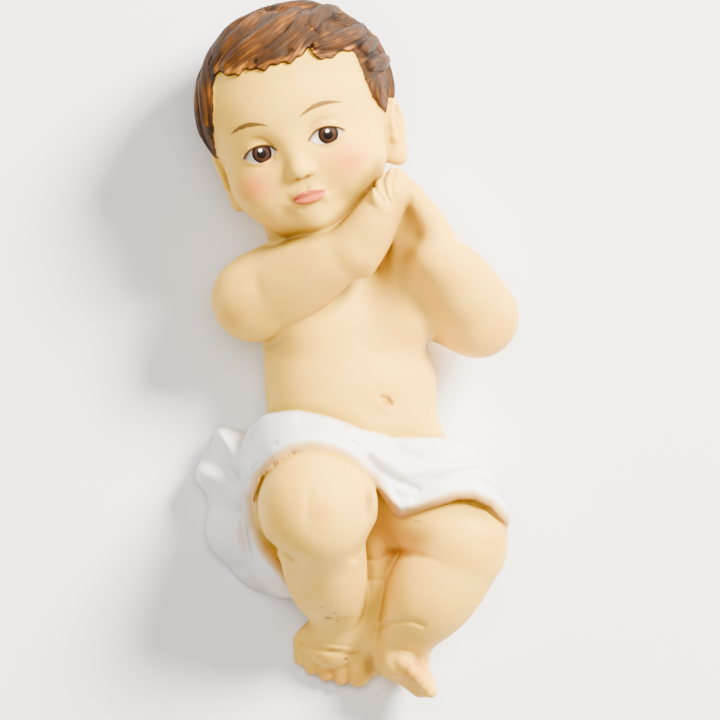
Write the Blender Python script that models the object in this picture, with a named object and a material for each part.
"""A lying infant figurine, cast in resin as one piece and painted.

The figure is modelled like a sculptor's rough. Eggs, balls and rounded bars melt into each other,
the hair is built of locks laid on the skull, and the cloth is a shell over the hips. Each form
gives a distance to its surface, and one skin is drawn where the joined distance is nought.
"""

import math
from concurrent.futures import ThreadPoolExecutor

import bpy
import numpy as np

# Sizes of the real figure, in metres.
HEAD_LENGTH = 0.0419
TRUNK_LENGTH = 0.0366
LEG_LENGTH = 0.0465
FLARE_REACH = 0.0288
ELBOW_REACH = 0.0294
KNEE_HEIGHT = 0.0406
SKULL_WIDTH = 0.0328
ARM_THICKNESS = 0.0146
THIGH_THICKNESS = 0.0186
CALF_THICKNESS = 0.0161
FINGER_THICKNESS = 0.0028
TOE_THICKNESS = 0.0034
EAR_LENGTH = 0.0111
HAIR_THICKNESS = 0.0009
CLOTH_THICKNESS = 0.0023

# The drawing: places on it are across, down and height, in units of this many metres.
DRAWING_UNIT = 0.0001784
# Marks on the drawing, and where the sizes above put them.
ACROSS_DRAWN = (194.0, 355.0, 520.0)
DOWN_DRAWN = (0.0, 235.0, 440.0, 700.6)
UP_DRAWN = (0.0, 227.6)


def radius_of(thickness):
    return thickness / 2 / DRAWING_UNIT


SKULL = radius_of(SKULL_WIDTH)
ARM = radius_of(ARM_THICKNESS)
THIGH = radius_of(THIGH_THICKNESS)
CALF = radius_of(CALF_THICKNESS)
FINGER = radius_of(FINGER_THICKNESS)
TOE = radius_of(TOE_THICKNESS)
HAIR = HAIR_THICKNESS / DRAWING_UNIT
CLOTH = CLOTH_THICKNESS / DRAWING_UNIT

ACROSS = (355 - FLARE_REACH / DRAWING_UNIT, 355.0, 355 + ELBOW_REACH / DRAWING_UNIT)
DOWN = tuple(
    length / DRAWING_UNIT
    for length in (0.0, HEAD_LENGTH, HEAD_LENGTH + TRUNK_LENGTH, HEAD_LENGTH + TRUNK_LENGTH + LEG_LENGTH)
)
UP = (0.0, KNEE_HEIGHT / DRAWING_UNIT)
# How widely the skin, the hair and the cloth run into each other.
JOIN = 3.0


def stretch(values, real, drawn):
    """Moves the real marks to the drawn ones, and what lies between them in proportion."""
    real = (real[0] - 300.0,) + tuple(real) + (real[-1] + 300.0,)
    drawn = (drawn[0] - 300.0,) + tuple(drawn) + (drawn[-1] + 300.0,)
    return np.interp(values, real, drawn)


def on_drawing(p):
    return np.stack(
        [
            stretch(p[:, 0], ACROSS, ACROSS_DRAWN),
            -stretch(-p[:, 1], DOWN, DOWN_DRAWN),
            stretch(p[:, 2], UP, UP_DRAWN),
        ],
        axis=1,
    ).astype(np.float32)


def spot(across, down, height):
    return np.array([across, -down, height], np.float32)


def blend(first, second, width):
    overlap = np.clip(width - np.abs(first - second), 0, None)
    return np.minimum(first, second) - overlap * overlap / (4 * width)


def carve(body, tool, width):
    return -blend(-body, tool, width)


def common(first, second, width):
    return -blend(-first, -second, width)


def ball(p, centre, radius):
    return np.sqrt(((p - centre) ** 2).sum(axis=1)) - radius


def egg(p, centre, radii):
    radii = np.asarray(radii, np.float32)
    q = (p - centre) / radii
    near = np.sqrt((q * q).sum(axis=1)) + 1e-6
    slope = np.sqrt(((q / radii) ** 2).sum(axis=1)) + 1e-9
    return near * (near - 1) / slope


def limb(p, start, end, start_radius, end_radius):
    along = end - start
    share = np.clip(((p - start) @ along) / float(along @ along), 0, 1)
    gap = p - start - share[:, None] * along
    return np.sqrt((gap * gap).sum(axis=1)) - (start_radius + share * (end_radius - start_radius))


def spans_of(rows):
    """The cubic of each span of a smooth curve through the rows, as four rows of factors."""
    rows = np.asarray(rows, np.float32)
    guides = np.vstack([2 * rows[0] - rows[1], rows, 2 * rows[-1] - rows[-2]])
    a, b, c, d = guides[:-3], guides[1:-2], guides[2:-1], guides[3:]
    return np.stack(
        [b, (c - a) / 2, a - 2.5 * b + 2 * c - d / 2, (3 * b - a - 3 * c + d) / 2], axis=1
    )


def tube(p, points, radii):
    """A rounded bar along a smooth curve, whose thickness changes as smoothly."""
    spans = spans_of(np.column_stack([points, radii]))
    count = len(spans)
    steps = np.linspace(0, count, count * 4 + 1)
    which = np.minimum(steps.astype(int), count - 1)
    t = (steps - which)[:, None]
    f = spans[which]
    rows = f[:, 0] + t * (f[:, 1] + t * (f[:, 2] + t * f[:, 3]))
    best = np.full(len(p), 1e6, np.float32)
    place = np.zeros(len(p), np.float32)
    for k in range(len(rows)):
        gap = np.sqrt(((p - rows[k, :3]) ** 2).sum(axis=1)) - rows[k, 3]
        closer = gap < best
        best[closer] = gap[closer]
        place[closer] = steps[k]
    for _ in range(3):
        which = np.minimum(place.astype(int), count - 1)
        t = (place - which)[:, None]
        f = spans[which]
        centre = f[:, 0] + t * (f[:, 1] + t * (f[:, 2] + t * f[:, 3]))
        speed = f[:, 1] + t * (2 * f[:, 2] + 3 * t * f[:, 3])
        bend = 2 * f[:, 2] + 6 * t * f[:, 3]
        gap = p - centre[:, :3]
        far = np.sqrt((gap * gap).sum(axis=1)) + 1e-3
        lean = (gap * speed[:, :3]).sum(axis=1) + far * speed[:, 3]
        turn = (speed[:, :3] ** 2).sum(axis=1) - (gap * bend[:, :3]).sum(axis=1)
        place = place + np.clip(lean / np.maximum(turn, 20), -0.3, 0.3)
        place = np.clip(place, 0, count - 1e-4).astype(np.float32)
    which = np.minimum(place.astype(int), count - 1)
    t = (place - which)[:, None]
    f = spans[which]
    centre = f[:, 0] + t * (f[:, 1] + t * (f[:, 2] + t * f[:, 3]))
    return np.sqrt(((p - centre[:, :3]) ** 2).sum(axis=1)) - centre[:, 3]


def near_line(p, points, plan=False):
    """The distance from each point to a line through the points, in plan only when asked."""
    size = 2 if plan else 3
    q = p[:, :size]
    best = np.full(len(p), 1e6, np.float32)
    for k in range(len(points) - 1):
        start = points[k][:size]
        along = points[k + 1][:size] - start
        share = np.clip(((q - start) @ along) / float(along @ along), 0, 1)
        gap = q - start - share[:, None] * along
        best = np.minimum(best, (gap * gap).sum(axis=1))
    return np.sqrt(best)


def dent(distance, depth, width):
    return depth * np.exp(-((distance / width) ** 2))


def within(p, low, high, margin, shape):
    """The shape at the points near its box, and a large distance at the others."""
    least = np.minimum(low, high) - margin
    most = np.maximum(low, high) + margin
    near = ((p > least) & (p < most)).all(axis=1)
    d = np.full(len(p), 400.0, np.float32)
    if near.any():
        d[near] = shape(p[near])
    return d


def polygon(p, corners):
    """The signed distance in plan to a closed outline, negative inside it."""
    q = p[:, :2]
    best = np.full(len(p), 1e9, np.float32)
    inside = np.zeros(len(p), bool)
    for k in range(len(corners)):
        a = corners[k][:2]
        b = corners[(k + 1) % len(corners)][:2]
        along = b - a
        share = np.clip(((q - a) @ along) / float(along @ along), 0, 1)
        gap = q - a - share[:, None] * along
        best = np.minimum(best, (gap * gap).sum(axis=1))
        crosses = (a[1] > q[:, 1]) != (b[1] > q[:, 1])
        rise = b[1] - a[1] if abs(b[1] - a[1]) > 1e-9 else 1e-9
        inside ^= crosses & (q[:, 0] < (b[0] - a[0]) * (q[:, 1] - a[1]) / rise + a[0])
    return np.where(inside, -1.0, 1.0) * np.sqrt(best)


def line(*corners):
    return [spot(*corner) for corner in corners]


# Torso, neck

def torso(p):
    chest = egg(p, spot(340, 302, 62), (86, 84, 66))
    belly = egg(p, spot(351, 386, 66), (86, 72, 72))
    hips = egg(p, spot(354, 464, 60), (100, 66, 64))
    d = blend(blend(chest, belly, 34), hips, 34)
    neck = limb(p, spot(322, 262, 78), spot(304, 190, 100), 44, 50)
    d = blend(d, neck, 20)
    right_breast = egg(p, spot(322, 318, 104), (40, 34, 26))
    left_breast = egg(p, spot(396, 322, 102), (34, 32, 26))
    d = blend(d, right_breast, 22)
    d = blend(d, left_breast, 22)
    navel = near_line(p, line((382, 398, 136), (387, 399, 135), (390, 404, 134)))
    d = d + dent(navel, 5.5, 3.6)
    around = near_line(p, line((379, 403, 136), (384, 409, 136), (391, 411, 135)))
    return d - dent(around, 1.4, 4.0)


# Arms, hands

RIGHT_SHOULDER = spot(275, 283, 80)
RIGHT_ELBOW = spot(255, 299, 98)
RIGHT_WRIST = spot(354, 248, 172)
LEFT_SHOULDER = spot(418, 292, 74)
LEFT_ELBOW = spot(478, 317, 88)
LEFT_WRIST = spot(436, 258, 158)


def right_arm(p):
    upper = tube(p, [RIGHT_SHOULDER, spot(262, 292, 88), RIGHT_ELBOW], [ARM - 1, ARM, ARM - 1])
    fore = tube(
        p,
        [RIGHT_ELBOW, spot(290, 283, 124), spot(326, 262, 154), RIGHT_WRIST],
        [0.93 * ARM, 0.97 * ARM, 0.80 * ARM, 0.56 * ARM],
    )
    d = blend(upper, fore, 18)
    dimple = ball(p, spot(262, 286, 142), 1)
    return d + dent(dimple, 2.0, 9.0)


def left_arm(p):
    upper = tube(p, [LEFT_SHOULDER, spot(450, 304, 80), LEFT_ELBOW], [ARM - 1, ARM, ARM - 2])
    fore = tube(
        p,
        [LEFT_ELBOW, spot(462, 291, 118), spot(446, 268, 146), LEFT_WRIST],
        [0.93 * ARM, 0.93 * ARM, 0.73 * ARM, 0.61 * ARM],
    )
    d = blend(upper, fore, 12)
    crease = near_line(p, line((460, 240, 134), (455, 244, 156), (450, 250, 172), (443, 264, 184)))
    return d + dent(crease, 5.0, 3.8)


HAND_LINES = [
    line((388, 171, 0), (383, 181, 0), (384, 192, 0), (389, 203, 0)),
    line((395, 173, 0), (391, 184, 0), (392, 197, 0)),
    line((379, 176, 0), (374, 185, 0), (377, 195, 0), (384, 203, 0)),
]


def right_hand(p):
    """The hand on the left of the plan, its back to the viewer and its thumb by the cheek."""
    back = tube(p, [RIGHT_WRIST, spot(372, 223, 184), spot(389, 194, 191)], [24, 22, 16])
    inner = tube(p, [RIGHT_WRIST, spot(370, 230, 162), spot(387, 198, 168)], [23, 20, 15])
    d = blend(back, inner, 10)
    edge = tube(
        p, line((362, 264, 160), (382, 236, 176), (396, 203, 184), (402, 182, 187)), [15, 11, 9, 7]
    )
    d = blend(d, edge, 9)
    fingers = [
        ((397, 196, 178), (401, 181, 182), 1.0),
        ((392, 195, 189), (397, 176, 191), 1.0),
        ((386, 195, 194), (391, 175, 195), 0.97),
        ((380, 197, 191), (385, 179, 193), 0.92),
    ]
    for root, tip, share in fingers:
        d = blend(d, limb(p, spot(*root), spot(*tip), share * FINGER, share * FINGER - 1.4), 4)
    thumb = tube(p, line((384, 212, 200), (377, 200, 204), (379, 186, 202)), [7, 6.2, 5.0])
    d = blend(d, thumb, 3)
    for bend in HAND_LINES:
        d = d + dent(near_line(p, bend, True), 2.2, 1.8) * np.clip((p[:, 2] - 176) / 10, 0, 1)
    return d


def between_hands(p):
    """The resin between the two hands, which a mould of two halves can't leave open."""
    return tube(
        p, line((404, 194, 162), (407, 228, 142), (408, 262, 126), (408, 304, 104)), [11, 17, 24, 30]
    )


def left_hand(p):
    """The hand on the right of the plan, its palm turned to the other hand."""
    outer = tube(p, line((440, 256, 160), (433, 226, 166), (414, 197, 177)), [22, 14, 9])
    inner = tube(p, line((430, 262, 130), (421, 232, 130), (408, 203, 152)), [22, 17, 11])
    d = blend(outer, inner, 14)
    fingers = [
        ((416, 202, 177), (406, 187, 180)),
        ((413, 203, 166), (404, 188, 170)),
        ((410, 205, 154), (403, 191, 159)),
    ]
    for root, tip in fingers:
        d = blend(d, limb(p, spot(*root), spot(*tip), FINGER, FINGER - 1.4), 3.5)
    return d


# Legs, feet

def right_leg(p):
    """The raised leg, on the left of the plan."""
    thigh = limb(p, spot(317, 462, 62), spot(318, 500, 160), THIGH + 2, THIGH)
    knee = ball(p, spot(318, 505, 174), THIGH - 1)
    calf = tube(
        p,
        line((319, 516, 162), (323, 550, 132), (327, 578, 100), (334, 602, 64), (337, 620, 38)),
        [1.06 * CALF, 0.96 * CALF, 0.89 * CALF, 0.69 * CALF, 0.58 * CALF],
    )
    d = blend(thigh, knee, 30)
    d = blend(d, calf, 20)
    upper = np.clip((p[:, 2] - 60) / 20, 0, 1)
    left_fold = near_line(p, line((256, 549, 0), (272, 545, 0), (284, 548, 0), (294, 556, 0)), True)
    right_fold = near_line(p, line((376, 528, 0), (366, 538, 0), (354, 556, 0)), True)
    d = d + upper * (dent(left_fold, 4.0, 5.0) + dent(right_fold, 3.2, 5.0))
    cap = near_line(p, line((310, 492, 224), (308, 512, 222), (314, 528, 216), (330, 532, 212)))
    return d + dent(cap, 1.6, 5.0)


def right_foot(p):
    heel = ball(p, spot(342, 622, 26), 28)
    arch = limb(p, spot(339, 622, 36), spot(334, 648, 24), 27, 24)
    front = egg(p, spot(333, 648, 18), (39, 24, 23))
    d = blend(blend(heel, arch, 12), front, 12)
    toes = [
        ((356, 660, 18), (358, 678, 16), 1.42, 1.30),
        ((339, 660, 19), (341, 680, 14), 0.96, 0.94),
        ((325, 658, 19), (326, 676, 13), 0.96, 0.92),
        ((311, 654, 18), (312, 670, 12), 0.94, 0.88),
        ((301, 648, 17), (301, 661, 12), 0.88, 0.82),
    ]
    for root, tip, wide, narrow in toes:
        d = blend(d, limb(p, spot(*root), spot(*tip), wide * TOE, narrow * TOE), 1.8)
    ankle = near_line(p, line((316, 616, 60), (336, 622, 70), (352, 617, 66), (364, 612, 56)))
    instep = near_line(
        p, line((302, 645, 32), (316, 652, 42), (332, 657, 45), (350, 658, 43), (366, 653, 32))
    )
    second = near_line(p, line((320, 646, 42), (336, 650, 47), (354, 651, 42)))
    return d + dent(ankle, 2.2, 4.0) + dent(instep, 3.0, 3.0) + dent(second, 1.6, 2.2)


def left_leg(p):
    """The leg that lies open, on the right of the plan."""
    thigh = tube(
        p, line((392, 466, 60), (424, 504, 80), (462, 538, 98)), [THIGH + 2, THIGH - 3, THIGH - 7]
    )
    calf = tube(
        p, line((461, 550, 94), (434, 590, 84), (412, 626, 66)), [CALF, CALF + 1, 0.69 * CALF]
    )
    d = blend(thigh, calf, 9)
    fold = near_line(p, line((396, 553, 96), (412, 553, 116), (432, 558, 128), (446, 563, 136)))
    return d + dent(fold, 3.8, 4.2) * np.clip((452 - p[:, 0]) / 44, 0, 1)


def left_foot(p):
    ankle = limb(p, spot(412, 626, 64), spot(403, 648, 42), 31, 28)
    heel = ball(p, spot(398, 654, 26), 25)
    inner = limb(p, spot(398, 652, 36), spot(398, 664, 66), 23, 16)
    outer = limb(p, spot(400, 660, 32), spot(422, 686, 54), 22, 14)
    d = blend(blend(ankle, heel, 14), blend(inner, outer, 14), 12)
    toes = [((399, 660, 66), (404, 662, 77), 1.32, 1.10)]
    for k in range(4):
        share = (k + 1) / 4
        root = (402 + 22 * share, 666 + 24 * share, 66 - 8 * share)
        tip = (408 + 23 * share, 666 + 27 * share, 78 - 12 * share)
        toes.append((root, tip, 1.05 - 0.16 * share, 0.88 - 0.17 * share))
    for root, tip, wide, narrow in toes:
        d = blend(d, limb(p, spot(*root), spot(*tip), wide * TOE, narrow * TOE), 2.5)
    crease = near_line(p, line((374, 628, 60), (393, 623, 88), (407, 620, 96), (424, 626, 96)))
    return d + dent(crease, 3.0, 4.5)


def web(p):
    """The resin that joins the legs and fills under them."""
    panel = tube(p, line((382, 500, 84), (384, 556, 76), (375, 636, 36)), [40, 30, 18])
    under = egg(p, spot(384, 556, 10), (56, 88, 26))
    d = blend(panel, under, 20)
    filling = limb(p, spot(304, 498, 92), spot(316, 578, 36), 43, 32)
    d = blend(d, filling, 16)
    beside = limb(p, spot(301, 494, 96), spot(306, 550, 58), 47, 40)
    d = blend(d, beside, 16)
    heels = limb(p, spot(367, 626, 40), spot(371, 664, 14), 17, 15)
    d = blend(d, heels, 8)
    seam = limb(p, spot(268, 490, 66), spot(273, 536, 60), 20, 20)
    d = blend(d, seam, 6)
    floor = egg(p, spot(322, 540, 8), (60, 66, 34))
    d = blend(d, floor, 16)
    upper = near_line(p, line((362, 560, 0), (378, 562, 0), (394, 553, 0)), True)
    lower = near_line(p, line((362, 580, 0), (384, 581, 0)), True)
    high = np.clip((p[:, 2] - 50) / 16, 0, 1)
    return d + high * (dent(upper, 2.6, 3.0) + dent(lower, 2.0, 3.0))


# Head

HEAD = spot(300, 119, 115.5)
ROLL = math.radians(16)
YAW = math.radians(-9)
PITCH = math.radians(9)


def head_axes():
    across = np.array([math.cos(ROLL), math.sin(ROLL), 0])
    up = np.array([-math.sin(ROLL), math.cos(ROLL), 0])
    out = np.array([0, 0, 1.0])
    across, out = (
        across * math.cos(YAW) - out * math.sin(YAW),
        out * math.cos(YAW) + across * math.sin(YAW),
    )
    up, out = (
        up * math.cos(PITCH) + out * math.sin(PITCH),
        out * math.cos(PITCH) - up * math.sin(PITCH),
    )
    return np.array([across, up, out], np.float32)


AXES = head_axes()
SKULL_MIDDLE = np.array([0, 18, -8], np.float32)
SKULL_RADII = np.array([SKULL, 88, 106], np.float32)


def v(a, b, c):
    return np.array([a, b, c], np.float32)


def head_form(q):
    skull = egg(q, SKULL_MIDDLE, SKULL_RADII)
    brow = egg(q, v(0, 26, 36), (78, 60, 58))
    return blend(skull, brow, 20)


def face(q):
    lower = egg(q, v(0, -34, 24), (78, 68, 68))
    d = blend(head_form(q), lower, 24)
    side = np.abs(q[:, 0:1])
    m = np.concatenate([side, q[:, 1:]], axis=1)
    cheek = ball(m, v(40, -46, 52), 38)
    d = blend(d, cheek, 16)
    jowl = ball(m, v(30, -72, 40), 30)
    d = blend(d, jowl, 18)
    chin = egg(q, v(0, -86, 66), (22, 19, 20))
    d = blend(d, chin, 14)
    under = egg(q, v(0, -86, 34), (48, 24, 40))
    d = blend(d, under, 16)
    hollow = egg(m, v(35, -8, 122), (25, 19, 33))
    d = carve(d, hollow, 12)
    bridge = limb(q, v(0, -6, 90.5), v(0, -30, 94.5), 6.5, 8)
    d = blend(d, bridge, 10)
    tip = egg(q, v(0, -36.5, 96), (10.5, 9, 10.5))
    d = blend(d, tip, 6)
    wing = ball(m, v(9.6, -38.5, 92), 6.4)
    d = blend(d, wing, 4)
    nostril = egg(m, v(4.8, -45.4, 99), (2.8, 2.2, 4.0))
    d = carve(d, nostril, 2)
    eyeball = egg(m, v(34.5, -11, 73.5), (18.5, 17.5, 18.5))
    d = blend(d, eyeball, 2.5)
    lid = egg(m, v(34.5, -11, 73.5), (20.6, 19.8, 20.6))
    flat = m * v(1, 1, 0)
    almond = common(
        ball(flat, v(34.0, -25.2, 0), 22.5), ball(flat, v(35.0, 2.2, 0), 22.5), 1.5
    )
    lid = common(lid, -almond, 1.0)
    d = blend(d, lid, 2.0)
    crease = near_line(
        m, [v(19, -7, 90), v(26, 2.5, 92), v(36, 5.5, 92), v(47, 2.0, 88), v(53, -6, 83)]
    )
    d = d + dent(crease, 1.5, 2.2)
    bag = near_line(m, [v(22, -20, 91), v(34, -24.5, 92), v(47, -20, 89)])
    d = d + dent(bag, 0.8, 2.4)
    mouth = egg(q, v(0, -63, 79), (25, 18, 14))
    d = blend(d, mouth, 10)
    corner = ball(m, v(20.5, -63.5, 90), 1)
    d = d + dent(corner, 1.8, 4.5)
    upper = tube(m, [v(-1, -61.2, 92.6), v(4.5, -59.4, 92.6), v(10, -61, 91.2), v(17.5, -64.2, 87.6)],
                 [3.0, 3.4, 2.8, 1.0])
    lower_lip = tube(m, [v(-1, -68.4, 91.8), v(6, -68, 91.4), v(12, -66.6, 89.8), v(16.5, -65, 87.6)],
                     [4.2, 4.0, 3.0, 1.2])
    d = blend(d, upper, 3.0)
    d = blend(d, lower_lip, 3.5)
    parting = near_line(
        m, [v(-1, -64.6, 96.5), v(5, -63.6, 95.8), v(11, -64.6, 93), v(19, -64.8, 88)]
    )
    d = d + dent(parting, 2.4, 1.5)
    philtrum = near_line(q, [v(0, -48, 95.5), v(0, -56, 95.5)])
    d = d + dent(philtrum, 1.2, 2.2)
    below = near_line(m, [v(-1, -76, 90), v(9, -75.5, 88)])
    return d + dent(below, 2.0, 5.0)


EAR_MIDDLE = v(86, -36, -6)


def ear(q, side):
    """An ear, as a rim that winds round a hollow, with its lobe."""
    size = EAR_LENGTH / DRAWING_UNIT / 62
    m = EAR_MIDDLE + (q * v(side, 1, 1) - EAR_MIDDLE + v(1.5, 5, 0)) / size
    plate = egg(m, v(87, -36, -6), (9, 31, 19))
    hollow = egg(m, v(97, -34, -3), (8, 19, 10.5))
    d = carve(plate, hollow, 3)
    rim = tube(
        m,
        [v(89, -42, 10), v(91, -22, 12), v(93, -9, 4), v(94, -7, -10), v(94, -20, -21),
         v(92, -40, -20), v(88, -56, -10)],
        [3.2, 4.0, 4.6, 4.8, 4.8, 4.6, 4.6],
    )
    d = blend(d, rim, 3)
    d = blend(d, ball(m, v(85, -60, 0), 8.0), 5)
    tragus = ball(m, v(89, -38, 12), 4.6)
    root = limb(m, v(82, -14, 0), v(79, -54, 4), 9, 9)
    return blend(blend(d, tragus, 3), root, 6) * size


BROW_LINE = (
    (-98, 76), (-63, 74), (-50, 71), (-30, 70), (-14, 70), (0, 68), (17, 68), (32, 69), (41, 72),
    (44, 66), (52, 61), (61, 58), (72, 58), (80, 56), (98, 54),
)
RIGHT_TEMPLE = ((-30, 8), (-14, 22), (2, 50), (25, 68), (45, 69), (63, 61), (78, 50))
LEFT_TEMPLE = ((-30, 6), (-14, 24), (6, 47), (27, 53), (42, 49), (54, 42), (66, 38))
NAPE = (
    (-110, -78), (-80, -76), (-52, -66), (-34, -42), (-22, -10), (-6, -2), (7, -6), (12, -28), (100, -30),
)


def along(values, pairs):
    xs = [float(pair[0]) for pair in pairs]
    ys = [float(pair[1]) for pair in pairs]
    return np.interp(values, xs, ys).astype(np.float32)


def hair_edge(q):
    """How far each point lies outside the hair, across its edge."""
    wave = 1.6 * np.sin(q[:, 0] * 0.21) + 1.0 * np.sin(q[:, 0] * 0.47 + 1)
    brow = q[:, 1] - along(q[:, 0], BROW_LINE) - wave
    right = along(q[:, 1], RIGHT_TEMPLE) - q[:, 2]
    left = along(q[:, 1], LEFT_TEMPLE) - q[:, 2]
    temple = np.where(q[:, 0] < 0, right, left)
    nape = q[:, 1] - along(q[:, 2], NAPE)
    return -np.minimum(np.maximum(brow, temple), nape)


def on_scalp(turn, rise, lift=0.0):
    turn, rise = math.radians(turn), math.radians(rise)
    way = v(
        math.cos(rise) * math.sin(turn), math.sin(rise), math.cos(rise) * math.cos(turn)
    )
    place = SKULL_MIDDLE + way * SKULL_RADII
    for _ in range(6):
        place = place - way * float(head_form(place[None])[0])
    return place + way * (HAIR + lift)


LOCKS = [
    # the mass over the forehead, combed down from the crown to the left of the plan
    ([(60, 62), (42, 56), (24, 47), (8, 42), (-6, 39)], [10, 13, 14, 12, 5], 1),
    ([(69, 70), (26, 65), (-3, 56), (-22, 48), (-36, 41)], [10, 15, 16, 13, 5], 1),
    ([(37, 46), (28, 43), (20, 39)], [9, 11, 6], 2),
    ([(-70, 84), (-44, 67), (-48, 53), (-54, 42)], [12, 15, 14, 6], 1),
    # forelock, and the lock under it that sweeps back to the notch
    ([(114, 49), (86, 55), (58, 54), (43, 47)], [9, 12, 11, 6], 5),
    ([(96, 32), (80, 32), (63, 33), (46, 33), (35, 35)], [12, 14, 13, 11, 5], 3),
    ([(112, 62), (116, 48), (104, 36)], [13, 15, 10], 1),
    # two small curls over the temple, and the sideburn
    ([(98, 21), (84, 22), (68, 21)], [8, 10, 8], 4),
    ([(94, 8), (82, 9), (64, 11)], [8, 11, 8], 4),
    ([(80, 0), (67, -3), (67, -10), (75, -19)], [8, 9, 8, 4], -1),
    ([(98, 0), (90, -10), (86, -22)], [11, 11, 5], 0),
    # the panel beside the other temple
    ([(-92, 57), (-76, 46), (-58, 31), (-53, 18), (-53, 6)], [13, 14, 12, 9, 4], 1),
    ([(-92, 42), (-80, 29), (-67, 14), (-68, -1), (-75, -16)], [13, 14, 12, 10, 5], 0),
]


def more_locks():
    """The crown and the back of the head, which the picture hides: locks fan out from a whorl."""
    made = []
    ways = np.random.default_rng(7)
    for k in range(11):
        turn = 100 + k * 164 / 10
        sway = float(ways.uniform(6, 14))
        end = -30 if 120 < turn < 240 else -12
        made.append((
            [(turn - 18, 44), (turn - 4, 22), (turn + sway, 0), (turn + 2, end)],
            [13, 17, 16, 7],
            0,
        ))
    for k in range(9):
        turn = 130 + k * 19
        sway = float(ways.uniform(8, 16))
        made.append((
            [(turn - 30, 80), (turn - 12, 64), (turn + sway, 46)],
            [12, 18, 12],
            1,
        ))
    return made


ALL_LOCKS = LOCKS + more_locks()


def hair(q):
    form = head_form(q)
    edge = hair_edge(q) * 0.75
    d = common(form - HAIR, edge, 5)
    for points, radii, lift in ALL_LOCKS:
        path = [on_scalp(turn, rise, lift + 1.0 - 0.55 * r) for (turn, rise), r in zip(points, radii)]
        low = np.min(path, axis=0) - max(radii)
        high = np.max(path, axis=0) + max(radii)
        lock = within(q, low, high, 12, lambda s: tube(s, path, [r * 0.85 for r in radii]))
        d = blend(d, lock, 2.5)
    return common(d, -(form + 14), 2)


# Cloth

UPPER_EDGE = line(
    (150, 452, 0), (225, 436, 0), (249, 425, 0), (265, 414, 0), (297, 409, 0), (332, 417, 0),
    (364, 428, 0), (393, 438, 0), (430, 438, 0), (464, 437, 0), (600, 440, 0)
)
OPENING = line(
    (256, 520, 0), (255, 498, 0), (262, 477, 0), (275, 464, 0), (293, 452, 0), (314, 449, 0),
    (332, 453, 0), (349, 462, 0), (371, 481, 0), (386, 503, 0), (393, 514, 0), (400, 519, 0),
    (410, 516, 0), (430, 508, 0), (458, 499, 0), (473, 499, 0), (490, 507, 0), (503, 522, 0),
    (520, 560, 0), (560, 760, 0), (330, 760, 0), (310, 605, 0), (297, 585, 0), (280, 563, 0),
    (267, 548, 0),
)
SHEET = line(
    (262, 432, 0), (240, 440, 0), (215, 470, 0), (208, 503, 0), (205, 529, 0), (212, 556, 0),
    (223, 565, 0), (236, 581, 0), (252, 593, 0), (271, 597, 0), (297, 597, 0), (330, 590, 0),
    (350, 500, 0), (320, 440, 0),
)
RUFFLE = line(
    (262, 428, 0), (247, 433, 0), (236, 430, 0), (225, 428, 0), (217, 429, 0), (213, 434, 0),
    (211, 444, 0), (207, 453, 0), (200, 461, 0), (195, 470, 0), (195, 480, 0), (200, 488, 0),
    (205, 495, 0), (208, 503, 0), (207, 515, 0), (205, 529, 0), (206, 540, 0), (211, 551, 0),
    (221, 560, 0), (230, 567, 0), (245, 566, 0), (256, 556, 0), (280, 520, 0), (300, 450, 0),
)


def edge_height(p, edge):
    xs = [float(corner[0]) for corner in edge]
    ys = [float(corner[1]) for corner in edge]
    return np.interp(p[:, 0], xs, ys).astype(np.float32)


def flare(p):
    """The gathered end of the cloth, which lies spread on the ground beside the hip."""
    outline = polygon(p, SHEET)
    deep = np.clip(-outline, 0, 90)
    top = 14 + 66 * (1 - np.exp(-deep / 46))
    sheet = common(outline * 0.9, (p[:, 2] - top) * 0.75, 7)
    outline = polygon(p, RUFFLE)
    deep = np.clip(-outline, 0, 90)
    top = 34 + 60 * (1 - np.exp(-deep / 36))
    for path, height, wide in RUFFLE_RIDGES:
        top = top + dent(near_line(p, path, True), height, wide)
    ruffle = common(outline * 0.9, (p[:, 2] - top) * 0.75, 9)
    return blend(sheet, ruffle, 4)


RUFFLE_RIDGES = [
    # line, height, width
    (line((213, 434, 0), (228, 444, 0), (244, 458, 0)), 11, 8),
    (line((203, 462, 0), (222, 466, 0), (242, 474, 0)), -10, 5),
    (line((196, 474, 0), (214, 481, 0), (236, 490, 0)), 11, 7),
    (line((204, 500, 0), (222, 505, 0), (240, 512, 0)), -9, 6),
    (line((206, 518, 0), (220, 522, 0)), 5, 6),
    (line((206, 536, 0), (226, 549, 0), (246, 556, 0)), 11, 8),
]


FOLDS = [
    # groove, depth, width
    (line((352, 444, 0), (372, 465, 0), (398, 482, 0), (417, 489, 0)), 4.2, 4.4),
    (line((415, 497, 0), (443, 482, 0), (466, 477, 0), (489, 484, 0), (504, 498, 0)), 4.0, 4.0),
    (line((396, 449, 0), (420, 459, 0), (450, 459, 0), (478, 453, 0)), 2.6, 4.0),
    (line((300, 418, 0), (330, 428, 0), (362, 448, 0), (382, 474, 0), (396, 494, 0)), 2.2, 4.4),
    (line((253, 470, 0), (262, 458, 0), (284, 443, 0), (314, 441, 0), (347, 452, 0)), 1.8, 3.0),
    (line((425, 487, 0), (446, 474, 0), (470, 469, 0), (488, 472, 0)), 2.0, 3.0),
]
RIDGES = [
    (line((376, 452, 0), (404, 472, 0), (440, 470, 0), (478, 462, 0)), 3.2, 5.0),
    (line((394, 502, 0), (411, 506, 0), (443, 496, 0), (472, 490, 0), (492, 498, 0)), 3.0, 5.0),
    (line((370, 468, 0), (388, 492, 0), (399, 508, 0)), 2.2, 4.0),
]


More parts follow.
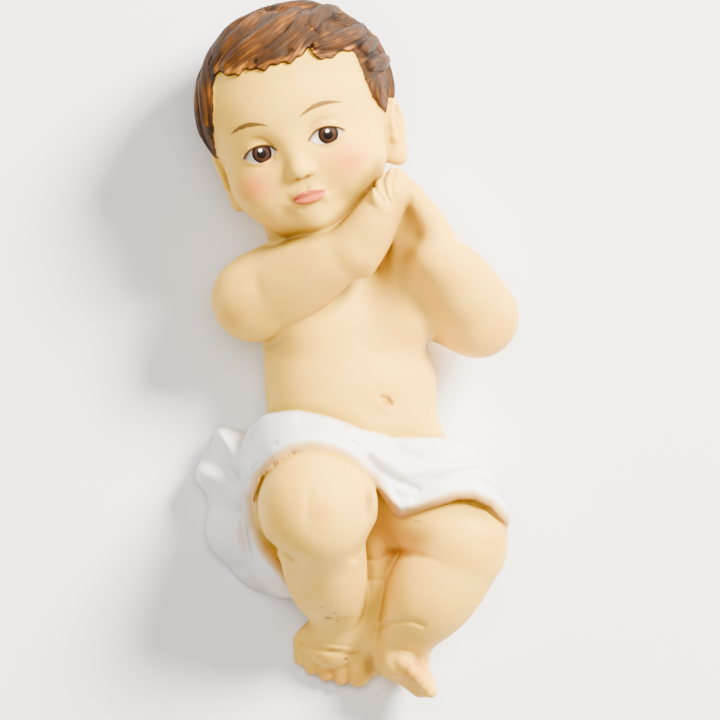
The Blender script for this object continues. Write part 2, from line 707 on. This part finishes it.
def cloth(p):
    hips = egg(p, spot(354, 470, 62), (91 + CLOTH, 53 + CLOTH, 61 + CLOTH))
    right_sleeve = limb(
        p, spot(310, 458, 66), spot(315, 490, 146), THIGH + 3 + CLOTH, THIGH + CLOTH
    )
    left_sleeve = tube(
        p,
        line((404, 462, 64), (436, 492, 84), (460, 520, 98)),
        [THIGH + 3 + CLOTH, THIGH - 6 + CLOTH, THIGH - 15 + CLOTH],
    )
    apron = egg(p, spot(398, 486, 88), (44, 38, 46))
    d = blend(hips, right_sleeve, 24)
    d = blend(d, left_sleeve, 24)
    d = blend(d, apron, 24)
    front = np.clip((p[:, 2] - 60) / 30, 0, 1)
    for path, depth, width in FOLDS:
        d = d + front * dent(near_line(p, path, True), depth, width)
    for path, height, width in RIDGES:
        d = d - front * dent(near_line(p, path, True), height, width)
    upper = (p[:, 1] - edge_height(p, UPPER_EDGE)) * 0.92
    d = common(d, upper, 7)
    side = egg(p, spot(286, 512, 30), (48, 88, 88))
    d = blend(d, side, 16)
    d = blend(d, flare(p), 10)
    groove = near_line(
        p, line((266, 458, 0), (252, 478, 0), (245, 500, 0), (244, 522, 0), (252, 548, 0)), True
    )
    d = d + dent(groove, 6.0, 6.0)
    low = np.clip((54 - p[:, 2]) / 30, 0, 1)
    hem = polygon(p, OPENING)
    return common(d, -hem * 0.8 - 44 * low, 6)


def field(p):
    """The distances to the skin, the hair and the cloth at each point."""
    p = on_drawing(p)
    skin = torso(p)
    arms = within(p, spot(200, 380, 20), spot(390, 160, 230), 14, right_arm)
    skin = blend(skin, arms, 7)
    arms = within(p, spot(370, 370, 20), spot(530, 200, 210), 14, left_arm)
    skin = blend(skin, arms, 7)
    hand = within(p, spot(320, 285, 120), spot(415, 160, 215), 14, right_hand)
    skin = blend(skin, hand, 5)
    hand = within(p, spot(392, 285, 110), spot(465, 176, 192), 14, left_hand)
    skin = blend(skin, hand, 4)
    core = within(p, spot(370, 340, 60), spot(440, 170, 190), 14, between_hands)
    skin = blend(skin, core, 20)
    leg = within(p, spot(230, 650, 0), spot(385, 360, 250), 14, right_leg)
    leg2 = within(p, spot(330, 660, 0), spot(515, 390, 160), 14, left_leg)
    foot = within(p, spot(290, 700, 0), spot(380, 590, 80), 14, right_foot)
    foot2 = within(p, spot(365, 712, 0), spot(445, 590, 100), 14, left_foot)
    joined = within(p, spot(250, 670, 0), spot(460, 440, 140), 14, web)
    skin = blend(skin, leg, 12)
    skin = blend(skin, leg2, 12)
    skin = blend(skin, foot, 5)
    skin = blend(skin, foot2, 5)
    skin = blend(skin, joined, 8)
    q = (p - HEAD) @ AXES.T
    head = within(q, v(-130, -130, -130), v(130, 130, 130), 10, face)
    for side in (-1, 1):
        one = within(q, v(side * 66, -86, -40), v(side * 110, 2, 30), 10, lambda s: ear(s, side))
        head = blend(head, one, 8)
    skin = blend(skin, head, 6)
    curls = within(q, v(-130, -130, -140), v(130, 140, 130), 10, hair)
    wrap = within(p, spot(180, 615, 0), spot(520, 395, 240), 14, cloth)
    return skin, curls, wrap


def whole(p):
    skin, curls, wrap = field(p)
    d = blend(skin, curls, JOIN)
    d = blend(d, wrap, JOIN)
    return common(d, -on_drawing(p)[:, 2], 0.5)


# Drawing one skin

def ruled(low, high, step, fine, coarse):
    """Places along one axis: a step apart, and closer within the fine stretch."""
    fine_low, fine_high, fine_step = fine
    places = [low]
    while places[-1] < high or (len(places) - 1) % coarse:
        here = places[-1]
        places.append(here + (fine_step if fine_low <= here < fine_high else step))
    return np.array(places)


def measured(distance, points, most=30000):
    """The distances at many points, worked out side by side in batches from feet to head."""
    order = np.argsort(points[:, 1])
    batches = np.array_split(points[order], max(1, math.ceil(len(points) / most)))
    values = np.empty(len(points), np.float32)
    with ThreadPoolExecutor() as workers:
        values[order] = np.concatenate(list(workers.map(distance, batches)))
    return values


def sample(distance, axes, coarse=8):
    """Distances on a grid, exact near the surface and only their sign far from it."""
    widest = max(float(np.diff(axis).max()) for axis in axes)
    size = coarse
    value = None
    while size >= 1:
        here = [axis[::size] for axis in axes]
        if value is None:
            needed = np.ones([len(axis) for axis in here], bool)
            finer = np.zeros(needed.shape, np.float32)
        else:
            finer = value
            for axis in range(3):
                finer = halfway(finer, axis)
            needed = np.abs(finer) < 3.2 * size * widest
            needed[::2, ::2, ::2] = False
        where = np.nonzero(needed)
        points = np.stack([here[k][where[k]] for k in range(3)], 1)
        finer[needed] = measured(distance, points)
        value = finer
        size //= 2
    return value


def halfway(value, axis):
    value = np.moveaxis(value, axis, 0)
    out = np.empty((2 * len(value) - 1,) + value.shape[1:], np.float32)
    out[::2] = value
    out[1::2] = (value[1:] + value[:-1]) / 2
    return np.moveaxis(out, 0, axis)


def corner_of(grid, i, j, k):
    """The same corner of every cell of the grid."""
    return grid[
        i:grid.shape[0] - 1 + i, j:grid.shape[1] - 1 + j, k:grid.shape[2] - 1 + k
    ]


def clear_doubts(value, small):
    """Fills the grid squares whose inside corners only face each other across a diagonal."""
    for _ in range(30):
        inside = value < 0
        fill = np.zeros(value.shape, bool)
        for first, second in ((0, 1), (0, 2), (1, 2)):
            a = np.moveaxis(inside, (first, second), (0, 1))
            f = np.moveaxis(fill, (first, second), (0, 1))
            cross = (a[:-1, :-1] & a[1:, 1:] & ~a[1:, :-1] & ~a[:-1, 1:])
            other = (~a[:-1, :-1] & ~a[1:, 1:] & a[1:, :-1] & a[:-1, 1:])
            f[1:, :-1] |= cross
            f[:-1, 1:] |= cross
            f[:-1, :-1] |= other
            f[1:, 1:] |= other
        for sx in (0, 1):
            for sy in (0, 1):
                near = corner_of(inside, sx, sy, 0)
                far = corner_of(inside, 1 - sx, 1 - sy, 1)
                total = sum(
                    corner_of(inside, i, j, k).astype(np.int8)
                    for i in (0, 1) for j in (0, 1) for k in (0, 1)
                )
                pair = near & far & (total == 2)
                gap = ~near & ~far & (total == 6)
                corner_of(fill, sx, sy, 1)[pair] = True
                corner_of(fill, sx, 1 - sy, 1)[pair] = True
                corner_of(fill, sx, sy, 0)[gap] = True
                corner_of(fill, 1 - sx, 1 - sy, 1)[gap] = True
        fill &= ~inside
        if not fill.any():
            break
        value[fill] = -small
    return value


def skin_of(value, axes):
    """Points and squares of the surface where the grid's values change sign."""
    inside = value < 0
    shape = np.array(value.shape) - 1
    total = np.zeros(shape, np.float32)
    sums = np.zeros(tuple(shape) + (3,), np.float32)
    edges = []
    for axis in range(3):
        step_to = [slice(None)] * 3
        step_from = [slice(None)] * 3
        step_to[axis] = slice(1, None)
        step_from[axis] = slice(None, -1)
        a, b = value[tuple(step_from)], value[tuple(step_to)]
        change = inside[tuple(step_from)] != inside[tuple(step_to)]
        where = np.argwhere(change)
        share = (a[change] / (a[change] - b[change])).astype(np.float32)
        spot_of = where.astype(np.float32)
        spot_of[:, axis] += share
        edges.append((axis, where, inside[tuple(step_from)][change]))
        one, two = [k for k in range(3) if k != axis]
        for i in (0, 1):
            for j in (0, 1):
                cell = where.copy()
                cell[:, one] -= i
                cell[:, two] -= j
                ok = ((cell >= 0) & (cell < shape)).all(axis=1)
                index = tuple(cell[ok].T)
                np.add.at(total, index, 1)
                np.add.at(sums, index, spot_of[ok])
    used = total > 0
    number = np.full(tuple(shape), -1, np.int64)
    number[used] = np.arange(used.sum())
    middle = sums[used] / total[used][:, None]
    points = np.stack(
        [np.interp(middle[:, k], np.arange(len(axes[k])), axes[k]) for k in range(3)], axis=1
    )
    squares = []
    for axis, where, outward in edges:
        one, two = (axis + 1) % 3, (axis + 2) % 3
        ring = []
        for i, j in ((1, 1), (0, 1), (0, 0), (1, 0)):
            cell = where.copy()
            cell[:, one] -= i
            cell[:, two] -= j
            ring.append(number[tuple(cell.T)])
        ring = np.stack(ring, 1)
        ring[~outward] = ring[~outward][:, ::-1]
        squares.append(ring)
    return points, np.concatenate(squares)


def settle(distance, points, rounds=1, reach=0.5):
    """Moves the points onto the surface, each along the slope of the distance there."""
    ways = np.array([[1, 1, 1], [1, -1, -1], [-1, 1, -1], [-1, -1, 1]]) * reach
    for _ in range(rounds):
        near = np.stack([measured(distance, points + way) for way in ways], 1)
        slope = near @ ways / (4 * reach * reach)
        square = np.clip((slope ** 2).sum(axis=1), 0.2, None)
        move = (-near.mean(axis=1) / square)[:, None] * slope
        length = np.sqrt((move ** 2).sum(axis=1))[:, None] + 1e-9
        points = points + move * np.minimum(1, 1.5 / length)
    return points

# The solid

# How finely the skin is drawn, how finely the face is, and how many triangles the solid keeps.
DRAWING_STEP = 4.0
FACE_STEP = 2.4
MOST_TRIANGLES = 9600


def clear_scene():
    for thing in list(bpy.data.objects):
        bpy.data.objects.remove(thing, do_unlink=True)


def resin_material():
    """Painted cast resin, with the satin sheen of its clear coat."""
    material = bpy.data.materials.new("painted_resin")
    material.use_nodes = True
    shader = material.node_tree.nodes["Principled BSDF"]
    shader.inputs["Base Color"].default_value = (0.86, 0.70, 0.49, 1.0)
    shader.inputs["Roughness"].default_value = 0.45
    material.diffuse_color = (0.86, 0.70, 0.49, 1.0)
    return material


def mesh_from(points, faces, name):
    mesh = bpy.data.meshes.new(name)
    mesh.from_pydata(points.tolist(), [], faces.tolist())
    mesh.update()
    return mesh


def lighter(mesh, most):
    """The same skin with fewer triangles, kept where it bends most."""
    rough = bpy.data.objects.new("rough", mesh)
    bpy.context.scene.collection.objects.link(rough)
    sides = rough.modifiers.new("triangles", "TRIANGULATE")
    sides.quad_method = "SHORTEST_DIAGONAL"
    fewer = rough.modifiers.new("fewer", "DECIMATE")
    fewer.ratio = most / (2 * len(mesh.polygons))
    graph = bpy.context.evaluated_depsgraph_get()
    made = bpy.data.meshes.new_from_object(rough.evaluated_get(graph))
    bpy.data.objects.remove(rough, do_unlink=True)
    return made


def places_of(mesh):
    places = np.empty(len(mesh.vertices) * 3, np.float32)
    mesh.vertices.foreach_get("co", places)
    return places.reshape(-1, 3).astype(np.float64)


def laid_flat(points):
    """The points with the underside in one plane."""
    flat = points.copy()
    flat[points[:, 2] < 0.6, 2] = 0.0
    return flat


def build_figure():
    axes = [
        ruled(ACROSS[0] - 12, ACROSS[2] + 12, DRAWING_STEP, (210, 400, FACE_STEP), 4),
        ruled(-DOWN[3] - 12, 10, DRAWING_STEP, (-215, -40, FACE_STEP), 4),
        ruled(-8, UP[1] + 12, DRAWING_STEP, (130, 250, FACE_STEP), 4),
    ]
    value = clear_doubts(sample(whole, axes, 4), 0.08)
    points, squares = skin_of(value, axes)
    points = laid_flat(settle(whole, points, 1))
    mesh = lighter(mesh_from(points, squares, "rough"), MOST_TRIANGLES)
    points = laid_flat(places_of(mesh))
    middle = (points.min(axis=0) + points.max(axis=0)) / 2
    middle[2] = 0.0
    points = (points - middle) * DRAWING_UNIT
    mesh.vertices.foreach_set("co", points.astype(np.float32).ravel())
    mesh.update()
    mesh.name = "infant_figure"
    mesh.materials.clear()
    mesh.materials.append(resin_material())
    figure = bpy.data.objects.new("infant_figure", mesh)
    bpy.context.scene.collection.objects.link(figure)


clear_scene()
build_figure()
